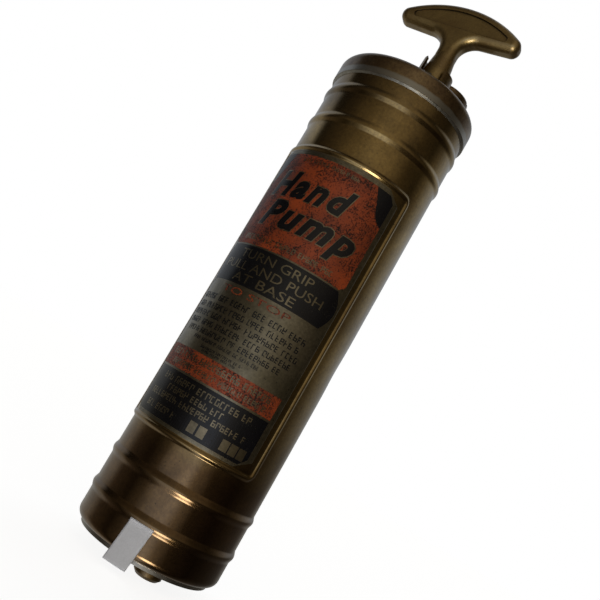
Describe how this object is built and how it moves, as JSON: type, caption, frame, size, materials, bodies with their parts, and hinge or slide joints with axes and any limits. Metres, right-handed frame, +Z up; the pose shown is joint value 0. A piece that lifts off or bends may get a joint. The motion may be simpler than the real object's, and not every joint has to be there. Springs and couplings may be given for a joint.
{
  "type": "fire extinguisher",
  "caption": "Hand-pumped brass fire extinguisher: beaded cylinder with a T handle and filler cap on top, a nozzle underneath and an enamelled instruction plate.",
  "frame": {"origin": "centre of the bottom rim, on the body axis and in the plane of the rim", "axes": "+Z up the body axis towards the handle, -Y through the middle of the label, +X to the right of the label"},
  "size_m": [0.0853, 0.0788, 0.3278],
  "materials": {
    "shell_brass": "tarnished, burnished by handling",
    "cap_brass": "tarnished",
    "solder": "tinned and dulled",
    "etched_label": "etched brass filled with red and black enamel",
    "cast_brass": "as cast and turned",
    "turned_brass": "turned",
    "fibre_gasket": "oiled leather fibre",
    "steel_ball": "polished",
    "spring_wire": "drawn phosphor bronze",
    "packing": "plaited and greased",
    "cup_leather": "waxed",
    "handle_brass": "worn by hands",
    "steel_pin": "dull"
  },
  "bodies": {
    "root": {"body_shell": "shell_brass", "top_cap": "cap_brass", "cap_solder_seam": "solder", "bottom_cap": "cap_brass", "label_plate": "etched_label", "pump_foot": "cast_brass", "foot_gasket": "fibre_gasket", "inlet_strainer": "turned_brass", "inlet_ball_retainer": "turned_brass", "nozzle": "turned_brass", "nozzle_gasket": "fibre_gasket", "pump_barrel": "turned_brass", "lower_barrel_gasket": "fibre_gasket", "upper_barrel_gasket": "fibre_gasket", "pump_head": "cast_brass", "gland_packing": "packing", "gland_follower": "turned_brass", "gland_nut": "turned_brass", "filler_neck": "turned_brass"},
    "piston": {"piston_body": "cast_brass", "swivel_nut": "turned_brass", "piston_cup": "cup_leather", "cup_washer": "turned_brass", "cup_nut": "turned_brass"},
    "handle": {"piston_rod": "turned_brass", "t_handle": "handle_brass", "handle_pin": "steel_pin"},
    "inlet_ball": {"inlet_ball": "steel_ball"},
    "outlet_ball": {"outlet_ball": "steel_ball", "outlet_spring": "spring_wire"},
    "filler_washer": {"filler_gasket": "fibre_gasket"},
    "filler_cap": {"filler_cap": "cap_brass"}
  },
  "joints": [
    {"name": "pump_stroke", "type": "slide", "parent": "root", "child": "piston", "axis": [0, 0, 1], "range_m": [0, 0.19]},
    {"name": "handle_turn", "type": "hinge", "parent": "piston", "child": "handle", "pos_m": [0.012, -0.012, 0.3], "axis": [0, 0, 1], "range_deg": [0, 90]},
    {"name": "inlet_ball_lift", "type": "slide", "parent": "root", "child": "inlet_ball", "axis": [0, 0, 1], "range_m": [0, 0.0015]},
    {"name": "outlet_ball_drop", "type": "slide", "parent": "root", "child": "outlet_ball", "axis": [0, 0, -1], "range_m": [0, 0.0015], "stiffness_N_per_m": 150, "springref_m": -0.002, "deforming": ["outlet_spring"]},
    {"name": "filler_lift", "type": "slide", "parent": "root", "child": "filler_washer", "axis": [0, 0, 1], "range_m": [0, 0.00998]},
    {"name": "filler_turn", "type": "hinge", "parent": "filler_washer", "child": "filler_cap", "pos_m": [0.0124, 0.014, 0.28], "axis": [0, 0, 1], "range_deg": [0, 1980]}
  ],
  "couplings": [
    {"joint": "filler_lift", "follows": "filler_turn", "m_per_rad": 0.00028871}
  ]
}
